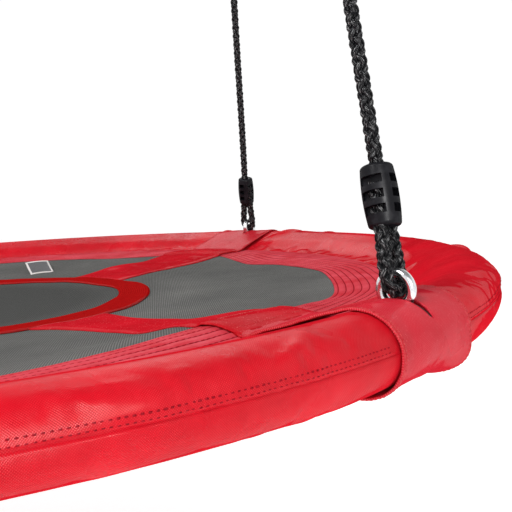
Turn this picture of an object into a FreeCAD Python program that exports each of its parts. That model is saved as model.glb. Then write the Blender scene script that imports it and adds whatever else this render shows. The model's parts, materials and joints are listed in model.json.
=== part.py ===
"""Round nest swing seat, 1.20 m across, on four braided ropes. FreeCAD 1.1 macro, millimetres.

Frame: +Z up, the origin on the ground under the middle of the seat. -Y is the front, +X the right.
The seat hangs from a pair of ropes on its right and a pair on its left, and swings along Y. Pieces of
the rim are drawn about the middle of the ring, whose plane is ring_height above the ground, with the
piece's own middle on +X, and are then turned into place.
"""
import FreeCAD, Part
import math
import os

from FreeCAD import Matrix, Placement, Rotation, Vector

DRIVING_SIZES = {
    "ring_radius": 571.5,      # middle of the steel tube
    "tube_outer": 16.0,
    "tube_inner": 14.5,
    "joiner_outer": 14.3,
    "joiner_inner": 12.3,
    "joiner_angle": 8.0,
    "sleeve_wide": 28.5,       # half the sleeve's width across the rim
    "sleeve_tall": 24.6,       # half its height
    "sleeve_skin": 1.2,
    "foam_gap": 0.2,
    "wrap_gap": 1.0,
    "wrap_skin": 1.5,
    "tube_joint": 0.04,        # degrees left open where two tubes meet
    "foam_opening": 2.0,       # degrees left open in the foam at an eye bolt
    "sleeve_opening": 1.0,     # degrees left open in the sleeve at an eye bolt
    "hem_inner": 440.0,
    "hem_outer": 499.0,
    "hem_half": 1.8,
    "mat_edge": 494.5,
    "mat_skin": 1.0,
    "mat_sag": 14.0,            # how far the mat's middle hangs below the ring's plane
    "band_inner": 203.0,
    "band_outer": 237.0,
    "band_skin": 1.6,
    "strap_skin": 1.4,
    "strap_end": 478.0,
    "wrap_half": 50.0,
    "wrap_top_start": 430.0,
    "wrap_under_start": 445.0,
    "wrap_flat_end": 480.0,
    "wrap_lift": 3.6,          # from the mat's middle layer to the wrap's inner ends
    "slit_long": 44.0,
    "slit_wide": 9.0,
    "eye_height": 36.6,        # middle of the eye above the ring's plane
    "eye_radius": 10.0,        # middle of the eye's wire
    "eye_wire": 3.0,
    "shank_radius": 4.0,
    "shank_foot": -22.6,
    "collar_radius": 7.5,
    "collar_thick": 3.0,
    "bolt_hole": 4.25,
    "washer_radius": 8.0,
    "washer_thick": 1.2,
    "nut_corner": 7.4,
    "nut_thick": 4.5,
    "rope_radius": 5.0,
    "ferrule_radius": 12.5,
    "ferrule_end_radius": 11.4,
    "ferrule_long": 43.0,
    "window_tall": 6.0,
    "window_pitch": 10.2,
    "bore_radius": 5.25,
    "thimble_half": 7.0,
    "thimble_radius": 13.6,
    "groove_radius": 5.2,
    "label_side": 34.0,
    "label_skin": 1.0,
    "label_tilt": 24.5,
}

# Middle of a rope in the plane of its two loops: along the loops' plane, and up the rope, from the
# middle of the eye's wire. It starts at the tail in the lower ferrule, goes down and round the eye's
# wire, up through both ferrules, and round the thimble to the tail in the upper ferrule.
ROPE_ROUTE = [
    (5.3, 58.0), (5.3, 28.0), (8.65, -2.8), (3.7, -8.3), (-3.7, -8.3), (-8.65, -2.8), (-5.3, 28.0),
    (-5.3, 46.0), (0.0, 62.0), (0.0, 396.0), (5.3, 412.0), (5.3, 428.0), (14.3, 460.5),
    (11.4, 468.6), (4.3, 473.6), (-4.3, 473.6), (-11.4, 468.6), (-14.3, 460.5), (-5.3, 428.0),
    (-5.3, 398.0),
]
LOWER_FERRULE_FOOT = 28.0
UPPER_FERRULE_FOOT = 385.0
THIMBLE_PLACE = 460.0
SEAM_ANGLE = 6.0              # the sleeve's outer seam, in degrees above the rim's middle
RUN_SHARE = 0.45               # how much of the shorter run beside a corner its arc takes

HANGING_POINT = Vector(351.0, 0.0, 1510.0)   # where the right pair of ropes meets, above the ring's plane
EYE_ANGLE = {"back_right": 45, "back_left": 135, "front_left": 225, "front_right": 315}
SIDE_ANGLE = {"right": 0, "back": 90, "left": 180, "front": 270}
LABEL_PLACE = Vector(77.3, 291.4, 0.0)
LABEL_TURN = 22.0

doc = FreeCAD.newDocument("nest_swing_seat")
sheet = doc.addObject("Spreadsheet::Sheet", "sizes")
nodes = []


def fill_sheet():
    for row, (name, value) in enumerate(DRIVING_SIZES.items(), start=1):
        sheet.set(f"A{row}", name)
        sheet.set(f"B{row}", str(value))
        sheet.setAlias(f"B{row}", name)
    doc.recompute()


def size(name):
    return float(sheet.get(name))


def primitive(kind, name, **expressions):
    """A Part primitive whose sizes are bound to the sheet."""
    made = doc.addObject(kind, name)
    for prop, expression in expressions.items():
        made.setExpression(prop, expression)
    return made


def boolean(kind, name, base, tool):
    made = doc.addObject(kind, name)
    made.Base = base
    made.Tool = tool
    return made


def stored(name, shape):
    """A profile or path that no primitive gives."""
    made = doc.addObject("Part::Feature", name)
    made.Shape = shape
    return made


def sub_part(label, made, turn=0.0):
    """Turns a piece of the rim into place, names it and lists it as a node."""
    made.Placement = Placement(Vector(0, 0, ring_height), Rotation(Vector(0, 0, 1), turn))
    made.Label = label
    nodes.append(made)
    return made


def upright_face(edges, holes=()):
    """A face in the XZ plane from edges drawn in XY."""
    rings = [Part.Wire(Part.__sortEdges__(list(loop))) for loop in (edges, *holes)]
    face = Part.makeFace(rings, "Part::FaceMakerBullseye")
    face.rotate(Vector(0, 0, 0), Vector(1, 0, 0), 90)
    return face


def polyline(points):
    corners = [Vector(x, y, 0) for x, y in points]
    return [Part.LineSegment(a, b).toShape() for a, b in zip(corners, corners[1:])]


def line(a, b):
    return Part.LineSegment(Vector(*a, 0), Vector(*b, 0)).toShape()


def arc(a, b, c):
    return Part.Arc(Vector(*a, 0), Vector(*b, 0), Vector(*c, 0)).toShape()


def rim_ellipse(wide, tall):
    return Part.Ellipse(Vector(size("ring_radius"), 0, 0), wide, tall)


def rim_arc(wide, tall, start, end):
    """Part of an ellipse round the rim's middle, between two angles in degrees."""
    return Part.ArcOfEllipse(rim_ellipse(wide, tall), math.radians(start), math.radians(end)).toShape()


def revolved(name, face, expression):
    """A profile turned about Z, as much to each side of +X."""
    made = doc.addObject("Part::Revolution", name)
    made.Source = face
    made.Axis = Vector(0, 0, 1)
    made.Base = Vector(0, 0, 0)
    made.Solid = True
    made.Symmetric = True
    made.setExpression("Angle", expression)
    return made


def tube_quarter(where, angle):
    """A quarter of the steel ring, drilled in its middle for the eye bolt."""
    quarter = "90 - sizes.tube_joint"
    outer = primitive("Part::Torus", f"tube_skin_{where}", Radius1="sizes.ring_radius",
                      Radius2="sizes.tube_outer", Angle3=quarter)
    inner = primitive("Part::Torus", f"tube_hollow_{where}", Radius1="sizes.ring_radius",
                      Radius2="sizes.tube_inner", Angle3=quarter)
    hole = primitive("Part::Cylinder", f"tube_hole_{where}", Radius="sizes.bolt_hole",
                     Height="3 * sizes.tube_outer")
    half = (90 - size("tube_joint")) / 2
    along = Rotation(Vector(0, 0, 1), half).multVec(Vector(size("ring_radius"), 0, 0))
    hole.Placement.Base = along - Vector(0, 0, 1.5 * size("tube_outer"))
    hollow = boolean("Part::Cut", f"tube_open_{where}", outer, inner)
    sub_part(f"tube_{where}", boolean("Part::Cut", f"tube_cut_{where}", hollow, hole), angle - half)


def joiner(where, angle):
    """The short inner tube that joins two quarters of the ring."""
    outer = primitive("Part::Torus", f"joiner_skin_{where}", Radius1="sizes.ring_radius",
                      Radius2="sizes.joiner_outer", Angle3="sizes.joiner_angle")
    inner = primitive("Part::Torus", f"joiner_hollow_{where}", Radius1="sizes.ring_radius",
                      Radius2="sizes.joiner_inner", Angle3="sizes.joiner_angle")
    made = boolean("Part::Cut", f"joiner_cut_{where}", outer, inner)
    sub_part(f"joiner_{where}", made, angle - size("joiner_angle") / 2)


def foam_face():
    shrink = size("sleeve_skin") + size("foam_gap")
    outside = rim_ellipse(size("sleeve_wide") - shrink, size("sleeve_tall") - shrink).toShape()
    middle = Vector(size("ring_radius"), 0, 0)
    inside = Part.Circle(middle, Vector(0, 0, 1), size("tube_outer") + size("foam_gap")).toShape()
    return stored("foam_profile", upright_face([outside], [[inside]]))


def touch_angle(wide, tall, point):
    """Angle on an ellipse round the rim's middle where a line from a point above it just touches."""
    across = (point[0] - size("ring_radius")) / wide
    up = point[1] / tall
    return math.atan2(up, across) - math.acos(1 / math.hypot(across, up))


def sleeve_face(name, sign):
    """The sleeve's skin above (1) or below (-1) its outer seam. It runs straight from the hem and
    then round the rim's section to the seam."""
    seam = SEAM_ANGLE * sign
    skin = size("sleeve_skin")
    hem = (size("hem_outer") + 0.3, size("hem_half"))
    edges = []
    ends = []
    for inset in (0.0, skin):
        wide = size("sleeve_wide") - inset
        tall = size("sleeve_tall") - inset
        start = (hem[0], hem[1] - inset)
        touch = touch_angle(wide, tall, start)
        over = rim_arc(wide, tall, seam, math.degrees(touch))
        top = over.valueAt(touch)
        edges += [over, line(start, (top.x, top.y))]
        ends.append((start, over.valueAt(math.radians(seam))))
    (start, seam_out), (inner_start, seam_in) = ends
    edges += [line(start, inner_start), Part.LineSegment(seam_out, seam_in).toShape()]
    face = upright_face(edges)
    if sign < 0:
        face = face.mirror(Vector(0, 0, 0), Vector(0, 0, 1))
    return stored(name, face)


def dish(radius):
    """Height of the mat's middle layer, which sags from the sleeve to the middle of the seat."""
    return -size("mat_sag") * (1 - (radius / size("hem_outer")) ** 2)


def dish_point(radius, lift):
    return radius, dish(radius) + lift


def dish_arc(near, far, lift):
    return arc(dish_point(near, lift), dish_point((near + far) / 2, lift), dish_point(far, lift))


def hem_face():
    """The stitched hem that the mat is sewn into: two layers, open towards the middle."""
    inner = size("hem_inner")
    rim = size("hem_outer")
    half = size("hem_half")
    slot = size("mat_skin") / 2 + size("foam_gap")
    deep = size("mat_edge") + 2.5
    edges = [line(dish_point(deep, slot), dish_point(deep, -slot)), line((rim, half), (rim, -half))]
    for sign in (1, -1):
        edges.append(dish_arc(inner, deep, sign * slot))
        edges.append(line(dish_point(inner, sign * slot), dish_point(inner, sign * half)))
        edges.append(dish_arc(inner, rim, sign * half))
    return stored("hem_profile", upright_face(edges))


def mat_face():
    half = size("mat_skin") / 2
    edge = size("mat_edge")
    outline = [dish_arc(0.0, edge, half), dish_arc(0.0, edge, -half)]
    outline += [line(dish_point(at, half), dish_point(at, -half)) for at in (0.0, edge)]
    return stored("mat_profile", upright_face(outline))


def band_face():
    near = size("band_inner")
    far = size("band_outer")
    low = size("mat_skin") / 2 + size("foam_gap")
    high = low + size("band_skin")
    sides = [line(dish_point(at, low), dish_point(at, high)) for at in (near, far)]
    return stored("band_profile", upright_face([dish_arc(near, far, low), dish_arc(near, far, high), *sides]))


def strap_face():
    """A strap's section along its length: on the mat, then up onto the hem."""
    near = size("band_outer") + 0.3
    leaves = size("hem_inner") - 20
    climbs = size("hem_inner") - 2
    skin = size("strap_skin")
    low = size("mat_skin") / 2 + 0.15
    hem = size("hem_half") + 0.2
    end = size("strap_end")
    edges = []
    for lift in (0.0, skin):
        edges.append(dish_arc(near, leaves, low + lift))
        edges.append(line(dish_point(leaves, low + lift), dish_point(climbs, hem + lift)))
        edges.append(dish_arc(climbs, end, hem + lift))
    edges.append(line(dish_point(near, low), dish_point(near, low + skin)))
    edges.append(line(dish_point(end, hem), dish_point(end, hem + skin)))
    return stored("strap_profile", upright_face(edges))


def strap_outline():
    """A strap from above: flared at the middle band, waisted, and wide at the rim."""
    half = [(230.0, 46.0), (290.0, 39.0), (350.0, 39.5), (415.0, 46.0), (485.0, 47.0)]
    points = half + [(x, -y) for x, y in reversed(half)]
    prism = doc.addObject("Part::Extrusion", "strap_outline")
    prism.Base = stored("strap_plan", Part.Face(Part.Wire(polyline(points + points[:1]))))
    prism.Dir = Vector(0, 0, 1)
    prism.DirMode = "Custom"
    prism.LengthFwd = 30
    prism.LengthRev = 30
    prism.Solid = True
    return prism


def wrap_face():
    """The wrap's section: flat on the strap, over the rim, under it and flat below the hem."""
    flat_end = size("wrap_flat_end")
    low = size("wrap_lift")
    high = low + size("wrap_skin")
    starts = ((size("wrap_top_start"), 1), (size("wrap_under_start"), -1))
    edges = []
    for flat in (low, high):
        grow = size("wrap_gap") + flat - low
        wide = size("sleeve_wide") + grow
        tall = size("sleeve_tall") + grow
        touches = []
        for start, sign in starts:
            end = dish_point(flat_end, sign * flat)
            touches.append(sign * touch_angle(wide, tall, (flat_end, sign * end[1])))
            tip = (size("ring_radius") + wide * math.cos(touches[-1]), tall * math.sin(touches[-1]))
            edges += polyline([dish_point(start, sign * flat), end, tip])
        edges.append(rim_arc(wide, tall, math.degrees(touches[1]), math.degrees(touches[0])))
    for start, sign in starts:
        edges.append(line(dish_point(start, sign * low), dish_point(start, sign * high)))
    return stored("wrap_profile", upright_face(edges))


def wrap(where, angle, face):
    """The doubled cloth that ties a strap round the rim, with a slit for the eye bolt."""
    shell = revolved(f"wrap_shell_{where}", face, "16")
    sides = primitive("Part::Box", f"wrap_sides_{where}", Length="sizes.ring_radius",
                      Width="2 * sizes.wrap_half", Height="200")
    sides.Placement.Base = Vector(size("wrap_top_start") - 20, -size("wrap_half"), -100)
    cloth = boolean("Part::Common", f"wrap_cloth_{where}", shell, sides)
    slit = primitive("Part::Box", f"wrap_slit_{where}", Length="sizes.slit_long",
                     Width="sizes.slit_wide", Height="sizes.sleeve_tall")
    slit.Placement.Base = Vector(size("ring_radius") - 16, -size("slit_wide") / 2, 16)
    sub_part(f"wrap_{where}", boolean("Part::Cut", f"wrap_cut_{where}", cloth, slit), angle)


def eye_bolt(where, angle):
    """A ring eye standing across the rim, its collar on the tube and its shank through it."""
    eye = primitive("Part::Torus", f"eye_{where}", Radius1="sizes.eye_radius", Radius2="sizes.eye_wire")
    eye.Placement = Placement(Vector(size("ring_radius"), 0, size("eye_height")), Rotation(Vector(1, 0, 0), 90))
    shank = primitive("Part::Cylinder", f"shank_{where}", Radius="sizes.shank_radius",
                      Height="sizes.eye_height - sizes.eye_radius - sizes.shank_foot")
    shank.Placement.Base = Vector(size("ring_radius"), 0, size("shank_foot"))
    collar = primitive("Part::Cylinder", f"collar_{where}", Radius="sizes.collar_radius",
                       Height="sizes.collar_thick")
    collar.Placement.Base = Vector(size("ring_radius"), 0, size("tube_outer") + 0.1)
    made = doc.addObject("Part::MultiFuse", f"eye_fuse_{where}")
    made.Shapes = [eye, shank, collar]
    sub_part(f"eye_bolt_{where}", made, angle)


def under_tube(kind, label, thick, below, **expressions):
    """Four washers or nuts under the tube, one on each eye bolt, as one node."""
    copies = []
    for where, angle in EYE_ANGLE.items():
        blank = primitive(kind, f"{label}_blank_{where}", Height=thick, **expressions)
        hole = primitive("Part::Cylinder", f"{label}_hole_{where}", Radius="sizes.shank_radius + 0.05",
                         Height=thick)
        ring = boolean("Part::Cut", f"{label}_ring_{where}", blank, hole)
        turn = Rotation(Vector(0, 0, 1), angle)
        ring.Placement = Placement(turn.multVec(Vector(size("ring_radius"), 0, below)), turn)
        copies.append(ring)
    group = doc.addObject("Part::Compound", f"{label}_group")
    group.Links = copies
    sub_part(label, group)


def label_tag():
    """The small blank tag that stands up from the mat, sewn along its front edge."""
    tag = primitive("Part::Box", "tag", Length="sizes.label_side", Width="sizes.label_side",
                    Height="sizes.label_skin")
    tag.Label = "blank_tag"
    lean = Rotation(Vector(0, 0, 1), LABEL_TURN).multiply(Rotation(Vector(1, 0, 0), size("label_tilt")))
    lift = dish(LABEL_PLACE.Length) + size("mat_skin") / 2 + 0.3
    place = LABEL_PLACE + Vector(0, 0, ring_height + lift)
    tag.Placement = Placement(place - lean.multVec(Vector(size("label_side") / 2, 0, 0)), lean)
    nodes.append(tag)


def rope_path():
    """Straight runs joined by tangent arcs, with what the arcs' radii are."""
    corners = [Vector(across, 0, up) for across, up in ROPE_ROUTE]
    edges = []
    radii = []
    last = corners[0]
    for before, corner, after in zip(corners, corners[1:], corners[2:]):
        cut = RUN_SHARE * min((corner - before).Length, (after - corner).Length)
        back = (before - corner).normalize()
        on = (after - corner).normalize()
        half_turn = (math.pi - back.getAngle(on)) / 2
        radius = cut / math.tan(half_turn)
        inwards = (back + on).normalize()
        middle = corner + inwards * (radius / math.cos(half_turn) - radius)
        start = corner + back * cut
        end = corner + on * cut
        edges += [Part.LineSegment(last, start).toShape(), Part.Arc(start, middle, end).toShape()]
        radii.append(round(radius, 1))
        last = end
    edges.append(Part.LineSegment(last, corners[-1]).toShape())
    return Part.Wire(edges), radii


def swept_rope(where, path):
    section = primitive("Part::Circle", f"rope_section_{where}", Radius="sizes.rope_radius")
    section.Placement.Base = path.Shape.Vertexes[0].Point
    made = doc.addObject("Part::Sweep", f"rope_{where}")
    made.Sections = [section]
    made.Spine = path
    made.Solid = True
    made.Frenet = False
    return made


def ferrule_face():
    """The ferrule's section: a barrel with rounded ends."""
    end = size("ferrule_end_radius")
    widest = size("ferrule_radius")
    long = size("ferrule_long")
    edges = [
        line((0.0, 0.0), (end - 3, 0.0)),
        arc((end - 3, 0.0), (end - 0.8, 0.9), (end, 3.0)),
        arc((end, 3.0), (widest, long / 2), (end, long - 3)),
        arc((end, long - 3), (end - 0.8, long - 0.9), (end - 3, long)),
        line((end - 3, long), (0.0, long)),
        line((0.0, long), (0.0, 0.0)),
    ]
    return stored("ferrule_profile", upright_face(edges))


def window(name, across, out, row):
    """A box that cuts one window's opening, seen along Y, from the rope outwards."""
    box = primitive("Part::Box", name, Height="sizes.window_tall")
    box.Length = across
    box.Width = 20
    up = size("ferrule_long") / 2 + row * size("window_pitch") - size("window_tall") / 2
    box.Placement.Base = Vector(-across / 2, out, up)
    return box


def ferrule_blank(name, face):
    """The barrel with three wide windows beyond each leg of the loop and three narrow ones between."""
    barrel = revolved(f"{name}_barrel", face, "360")
    cuts = []
    for row in (-1, 0, 1):
        for turn, across, out in ((90, 16.0, 7.0), (270, 16.0, 7.0), (0, 8.6, 5.4), (180, 8.6, 5.4)):
            box = window(f"{name}_window_{turn}_{row + 1}", across, out, row)
            box.Placement = Placement(Vector(), Rotation(Vector(0, 0, 1), turn)).multiply(box.Placement)
            cuts.append(box)
    openings = doc.addObject("Part::Compound", f"{name}_windows")
    openings.Links = cuts
    return boolean("Part::Cut", f"{name}_blank", barrel, openings)


def thimble(name):
    """A round thimble: a grooved eye of revolution about Y with a round bore for the shackle's pin."""
    bore = size("bore_radius")
    half = size("thimble_half")
    rim = size("thimble_radius")
    groove = size("groove_radius")
    edges = polyline([(rim, -groove), (rim, -half), (bore, -half), (bore, half), (rim, half), (rim, groove)])
    edges.append(arc((rim, groove), (rim - groove, 0.0), (rim, -groove)))
    made = revolved(f"{name}_turned", stored(f"{name}_profile", upright_face(edges)), "360")
    made.Placement.Rotation = Rotation(Vector(1, 0, 0), 90)
    return made


def rope_placement(angle):
    """Where a rope's own frame stands: Z up the rope, X across its loops, Y along the eye's wire."""
    outwards = Rotation(Vector(0, 0, 1), angle).multVec(Vector(1, 0, 0))
    sideways = Vector(0, 0, 1).cross(outwards)
    eye = outwards * size("ring_radius") + Vector(0, 0, size("eye_height"))
    top = Vector(math.copysign(HANGING_POINT.x, outwards.x), 0, HANGING_POINT.z)
    up = (top - eye).normalize()
    lean = (up - sideways * up.dot(sideways)).normalize()
    wire = sideways.cross(lean).normalize()
    across = wire.cross(up)
    base = eye + lean * size("eye_radius") + Vector(0, 0, ring_height)
    frame = Matrix(
        across.x, wire.x, up.x, base.x,
        across.y, wire.y, up.y, base.y,
        across.z, wire.z, up.z, base.z,
        0, 0, 0, 1,
    )
    return Placement(frame)


def hung(label, made, place):
    """Puts a piece drawn in a rope's own frame where that rope is."""
    made.Placement = place.multiply(made.Placement)
    made.Label = label
    nodes.append(made)


def rope_set(where, angle, path, ferrule_profile):
    """One rope, the two ferrules that close its loops, and the thimble in its upper loop."""
    place = rope_placement(angle)
    for end, foot in (("lower", LOWER_FERRULE_FOOT), ("upper", UPPER_FERRULE_FOOT)):
        name = f"ferrule_{end}_{where}"
        blank = ferrule_blank(name, ferrule_profile)
        blank.Placement.Base = Vector(0, 0, foot)
        channel = swept_rope(f"in_{name}", path)
        hung(name, boolean("Part::Cut", f"{name}_cut", blank, channel), place)
    eyelet = thimble(f"thimble_{where}")
    eyelet.Placement.Base = Vector(0, 0, THIMBLE_PLACE)
    hung(f"thimble_{where}", eyelet, place)
    hung(f"rope_{where}", swept_rope(where, path), place)


def build_rim():
    foam = foam_face()
    upper = sleeve_face("sleeve_upper_profile", 1)
    lower = sleeve_face("sleeve_lower_profile", -1)
    for where, angle in SIDE_ANGLE.items():
        joiner(where, angle)
        sub_part(f"foam_{where}", revolved(f"foam_turned_{where}", foam, "90 - sizes.foam_opening"), angle)
        for name, face in (("upper", upper), ("lower", lower)):
            skin = revolved(f"sleeve_{name}_turned_{where}", face, "90 - sizes.sleeve_opening")
            sub_part(f"sleeve_{name}_{where}", skin, angle)


def build_mat():
    sub_part("hem", revolved("hem_turned", hem_face(), "360"))
    sub_part("mat", revolved("mat_turned", mat_face(), "360"))
    sub_part("middle_band", revolved("band_turned", band_face(), "360"))
    label_tag()


def build_corners():
    strap_profile = strap_face()
    wrap_profile = wrap_face()
    for where, angle in EYE_ANGLE.items():
        tube_quarter(where, angle)
        shell = revolved(f"strap_shell_{where}", strap_profile, "30")
        sub_part(f"strap_{where}", boolean("Part::Common", f"strap_cut_{where}", shell, strap_outline()), angle)
        wrap(where, angle, wrap_profile)
        eye_bolt(where, angle)
    washer_foot = -size("tube_outer") - size("washer_thick") - 0.1
    under_tube("Part::Cylinder", "eye_washers", "sizes.washer_thick", washer_foot, Radius="sizes.washer_radius")
    under_tube("Part::Prism", "eye_nuts", "sizes.nut_thick", washer_foot - size("nut_thick"),
               Circumradius="sizes.nut_corner")


def build_ropes():
    wire, radii = rope_path()
    path = stored("rope_route", wire)
    ferrule_profile = ferrule_face()
    for where, angle in EYE_ANGLE.items():
        rope_set(where, angle, path, ferrule_profile)
    print(f"rope route {wire.Length:.1f} mm long, arc radii {radii}")
    return wire.Length


def check_and_write(rope_length):
    doc.recompute()
    for made in doc.Objects:
        if "Invalid" in made.State or "Error" in made.State:
            raise RuntimeError(f"{made.Label} failed: {made.State}")
    os.makedirs("parts", exist_ok=True)
    for made in nodes:
        shape = made.Shape
        if shape.isNull() or not shape.isValid():
            raise RuntimeError(f"{made.Label} has no valid shape")
        if made.Label.startswith("rope_"):
            share = shape.Volume / (math.pi * size("rope_radius") ** 2 * rope_length)
            print(f"{made.Label}: volume over section times length {share:.4f}")
        box = shape.BoundBox
        print(f"{made.Label}: {len(shape.Solids)} solids, {shape.Volume / 1000:.2f} cm3, "
              f"z {box.ZMin:.1f} to {box.ZMax:.1f}")
        shape.exportStep(f"parts/{made.Label}.step")
    print(f"{len(nodes)} nodes")


fill_sheet()
ring_height = size("sleeve_tall") + size("wrap_gap") + size("wrap_skin")
build_rim()
build_mat()
build_corners()
rope_length = build_ropes()
check_and_write(rope_length)
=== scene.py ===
"""Looks of the round nest swing seat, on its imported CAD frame. Metres, in the frame's own axes."""

import json
from math import acos, atan2, copysign, cos, degrees, exp, hypot, pi, radians, remainder, sin, sqrt, tau

import bpy
import numpy as np
from mathutils import Matrix, Vector, noise


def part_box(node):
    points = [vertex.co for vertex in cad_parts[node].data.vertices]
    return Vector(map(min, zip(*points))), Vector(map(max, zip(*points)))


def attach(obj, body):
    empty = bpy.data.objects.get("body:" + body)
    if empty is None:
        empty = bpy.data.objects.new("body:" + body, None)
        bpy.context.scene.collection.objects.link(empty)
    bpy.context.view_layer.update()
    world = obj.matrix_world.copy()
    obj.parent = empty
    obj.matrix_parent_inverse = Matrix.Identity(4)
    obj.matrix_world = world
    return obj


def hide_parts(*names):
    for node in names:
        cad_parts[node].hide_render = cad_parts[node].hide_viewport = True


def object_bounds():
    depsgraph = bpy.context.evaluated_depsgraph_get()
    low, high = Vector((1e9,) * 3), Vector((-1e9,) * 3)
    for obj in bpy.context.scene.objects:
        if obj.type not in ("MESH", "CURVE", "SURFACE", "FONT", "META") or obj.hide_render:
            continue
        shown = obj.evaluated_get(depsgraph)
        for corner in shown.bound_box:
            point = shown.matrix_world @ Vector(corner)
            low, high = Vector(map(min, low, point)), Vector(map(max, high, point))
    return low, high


CORNER_ANGLE = {"back_right": 45, "back_left": 135, "front_left": 225, "front_right": 315}
SIDE_ANGLE = {"right": 0, "back": 90, "left": 180, "front": 270}
ROPE_ROUTE = [
    (0.0053, 0.0580), (0.0053, 0.0280), (0.0097, -0.0074), (0.0044, -0.0146), (-0.0044, -0.0146),
    (-0.0097, -0.0074), (-0.0053, 0.0280), (-0.0053, 0.0460), (0.0, 0.0620), (0.0, 0.3960),
    (0.0053, 0.4120), (0.0053, 0.4280), (0.0143, 0.4605), (0.0114, 0.4686), (0.0043, 0.4736),
    (-0.0043, 0.4736), (-0.0114, 0.4686), (-0.0143, 0.4605), (-0.0053, 0.4280), (-0.0053, 0.3980),
]
ROUTE_START = 0.010  # the route's heights count from the ring of the CAD eye, this far above its centre
EYE_RADIUS = 0.0112
EYE_WIRE = 0.0035
EYE_SUNK = 0.0040
SEAM_ANGLE = radians(6)

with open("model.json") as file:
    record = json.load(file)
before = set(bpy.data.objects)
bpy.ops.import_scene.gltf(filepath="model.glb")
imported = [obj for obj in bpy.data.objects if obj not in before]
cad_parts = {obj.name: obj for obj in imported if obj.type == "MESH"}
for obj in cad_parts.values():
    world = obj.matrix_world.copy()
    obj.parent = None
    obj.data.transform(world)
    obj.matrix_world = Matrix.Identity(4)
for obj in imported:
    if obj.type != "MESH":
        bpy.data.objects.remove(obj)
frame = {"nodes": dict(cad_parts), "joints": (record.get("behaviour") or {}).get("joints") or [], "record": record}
cad_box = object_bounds()
joints = {joint["name"]: joint for joint in frame["joints"]}
mounts = {mount["name"]: mount for mount in frame["record"]["mounts"]}

RING_HEIGHT = (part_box("tube_back_right")[0][2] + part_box("tube_back_right")[1][2]) / 2
RING_RADIUS = Vector(joints["rope_swing_back_right"]["pos_m"][:2]).length
RIM_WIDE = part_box("sleeve_upper_right")[1][0] - RING_RADIUS
RIM_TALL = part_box("sleeve_upper_right")[1][2] - RING_HEIGHT
HEM_INNER = 0.440
HEM_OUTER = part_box("hem")[1][0]
HEM_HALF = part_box("hem")[1][2] - RING_HEIGHT
MAT_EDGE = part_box("mat")[1][0]
MAT_SAG = RING_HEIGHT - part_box("mat")[0][2] - 0.0005
BAND_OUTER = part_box("middle_band")[1][0]
BAND_INNER = BAND_OUTER - 0.034


# ---- camera

CAMERA_PLACE = (0.2510, -0.9021, 0.1095)
CAMERA_HEADING, CAMERA_PITCH, CAMERA_ROLL = (radians(turn) for turn in (7.05, 5.47, -3.455))
CAMERA_LENS = 55.2


def make_camera():
    """Low, close to the front-right part of the rim, looking a little down across the seat."""
    level = Vector((cos(CAMERA_HEADING), -sin(CAMERA_HEADING), 0))
    forward = Vector((sin(CAMERA_HEADING), cos(CAMERA_HEADING), 0))
    ahead = forward * cos(CAMERA_PITCH) - Vector((0, 0, sin(CAMERA_PITCH)))
    right = cos(CAMERA_ROLL) * level + sin(CAMERA_ROLL) * level.cross(ahead)
    data = bpy.data.cameras.new("camera")
    data.lens = CAMERA_LENS
    data.sensor_width = 36
    data.clip_start = 0.02
    camera = bpy.data.objects.new("camera", data)
    bpy.context.scene.collection.objects.link(camera)
    turn = Matrix((right, right.cross(ahead), -ahead)).transposed().to_4x4()
    camera.matrix_world = Matrix.Translation(Vector((0, 0, RING_HEIGHT)) + Vector(CAMERA_PLACE)) @ turn
    bpy.context.scene.camera = camera


# ---- looks

class Nodes:
    """Short ways to add and join the nodes of a tree."""

    def __init__(self, tree):
        self.tree = tree

    def add(self, kind, inputs=None, **settings):
        made = self.tree.nodes.new(kind)
        for name, value in settings.items():
            setattr(made, name, value)
        for name, value in (inputs or {}).items():
            self.join(value, made.inputs[name])
        return made

    def join(self, value, socket):
        if isinstance(value, bpy.types.NodeSocket):
            self.tree.links.new(value, socket)
        else:
            socket.default_value = (*value, 1) if socket.type == "RGBA" else value

    def maths(self, operation, a, b=0.0):
        return self.add("ShaderNodeMath", {0: a, 1: b}, operation=operation).outputs[0]

    def times(self, a, b):
        return self.maths("MULTIPLY", a, b)

    def coordinates(self, kind="Object"):
        return self.add("ShaderNodeTexCoord").outputs[kind]

    def split(self, vector):
        return self.add("ShaderNodeSeparateXYZ", {"Vector": vector}).outputs

    def cloth_place(self, layer="cloth"):
        """A place on a piece's own cloth: across and along, in metres, from its UV layer."""
        return self.split(self.add("ShaderNodeUVMap", uv_map=layer).outputs[0])[:2]

    def noise(self, vector, scale, detail=3.0, roughness=0.5):
        return self.add("ShaderNodeTexNoise", {"Vector": vector, "Scale": scale, "Detail": detail,
                                               "Roughness": roughness}).outputs["Fac"]

    def wave(self, along, pitch):
        """A sine of a length, with the given pitch in metres."""
        return self.maths("SINE", self.times(along, tau / pitch))

    def spread(self, value, low, high, to_low=0.0, to_high=1.0, **settings):
        return self.add("ShaderNodeMapRange", {"Value": value, "From Min": low, "From Max": high,
                                               "To Min": to_low, "To Max": to_high}, **settings).outputs[0]

    def mix(self, share, first, second):
        return self.add("ShaderNodeMix", {0: share, 6: first, 7: second}, data_type="RGBA").outputs[2]


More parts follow.
